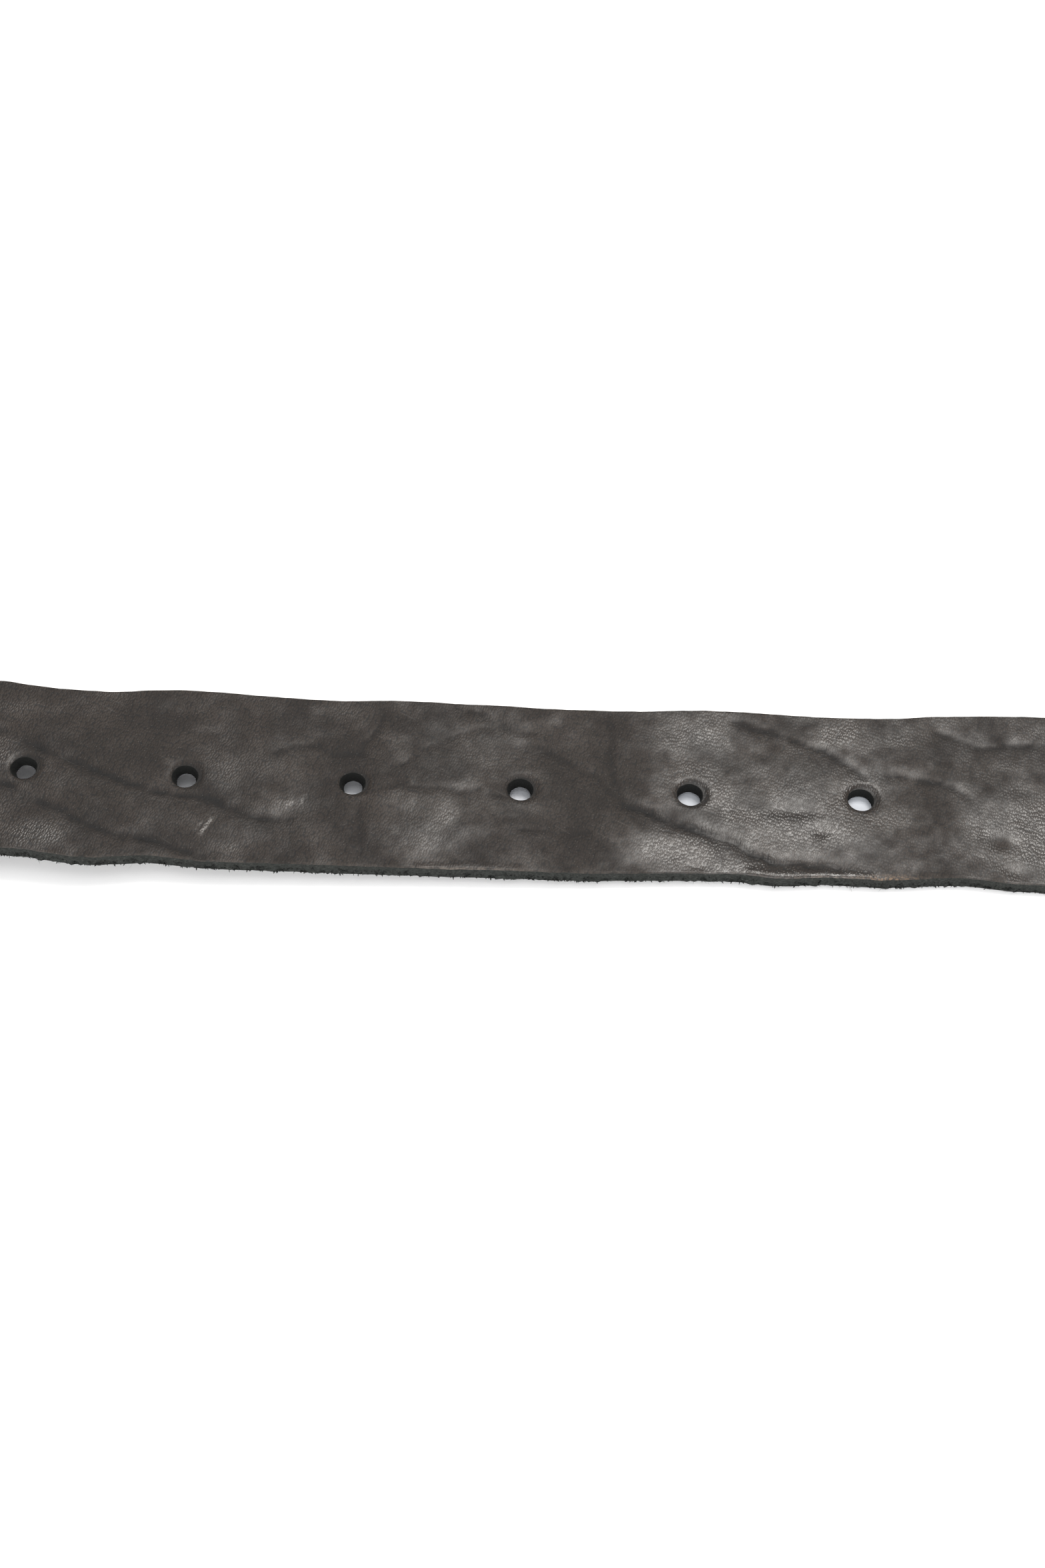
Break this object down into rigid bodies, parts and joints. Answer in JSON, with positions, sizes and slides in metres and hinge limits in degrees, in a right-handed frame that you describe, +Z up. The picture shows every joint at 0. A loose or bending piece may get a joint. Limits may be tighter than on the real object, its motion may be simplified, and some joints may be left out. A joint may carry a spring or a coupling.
{
  "type": "roller buckle belt",
  "caption": "Raw-cut black leather belt lying open and straight, with a row of round prong holes, a keeper loop and a plain steel roller buckle.",
  "frame": {"origin": "on the surface the belt lies on, under the middle of its bounding box", "axes": "+X along the strap from its tip to the buckle, +Y across the strap to its far edge, +Z up out of the grain side"},
  "size_m": [0.9858, 0.0388, 0.0131],
  "materials": {
    "strap_leather": "fine pebbled grain side, worn semi-gloss, raw fibrous cut edges",
    "keeper_leather": "fine pebbled grain side, worn semi-gloss, raw cut edges",
    "buckle_steel": "satin, lightly worn",
    "rivet_steel": "satin"
  },
  "bodies": {
    "root": {"strap": "strap_leather", "roller_buckle": "buckle_steel", "keeper_loop": "keeper_leather", "rivet_by_buckle": "rivet_steel", "rivet_behind_keeper": "rivet_steel"}
  },
  "joints": []
}
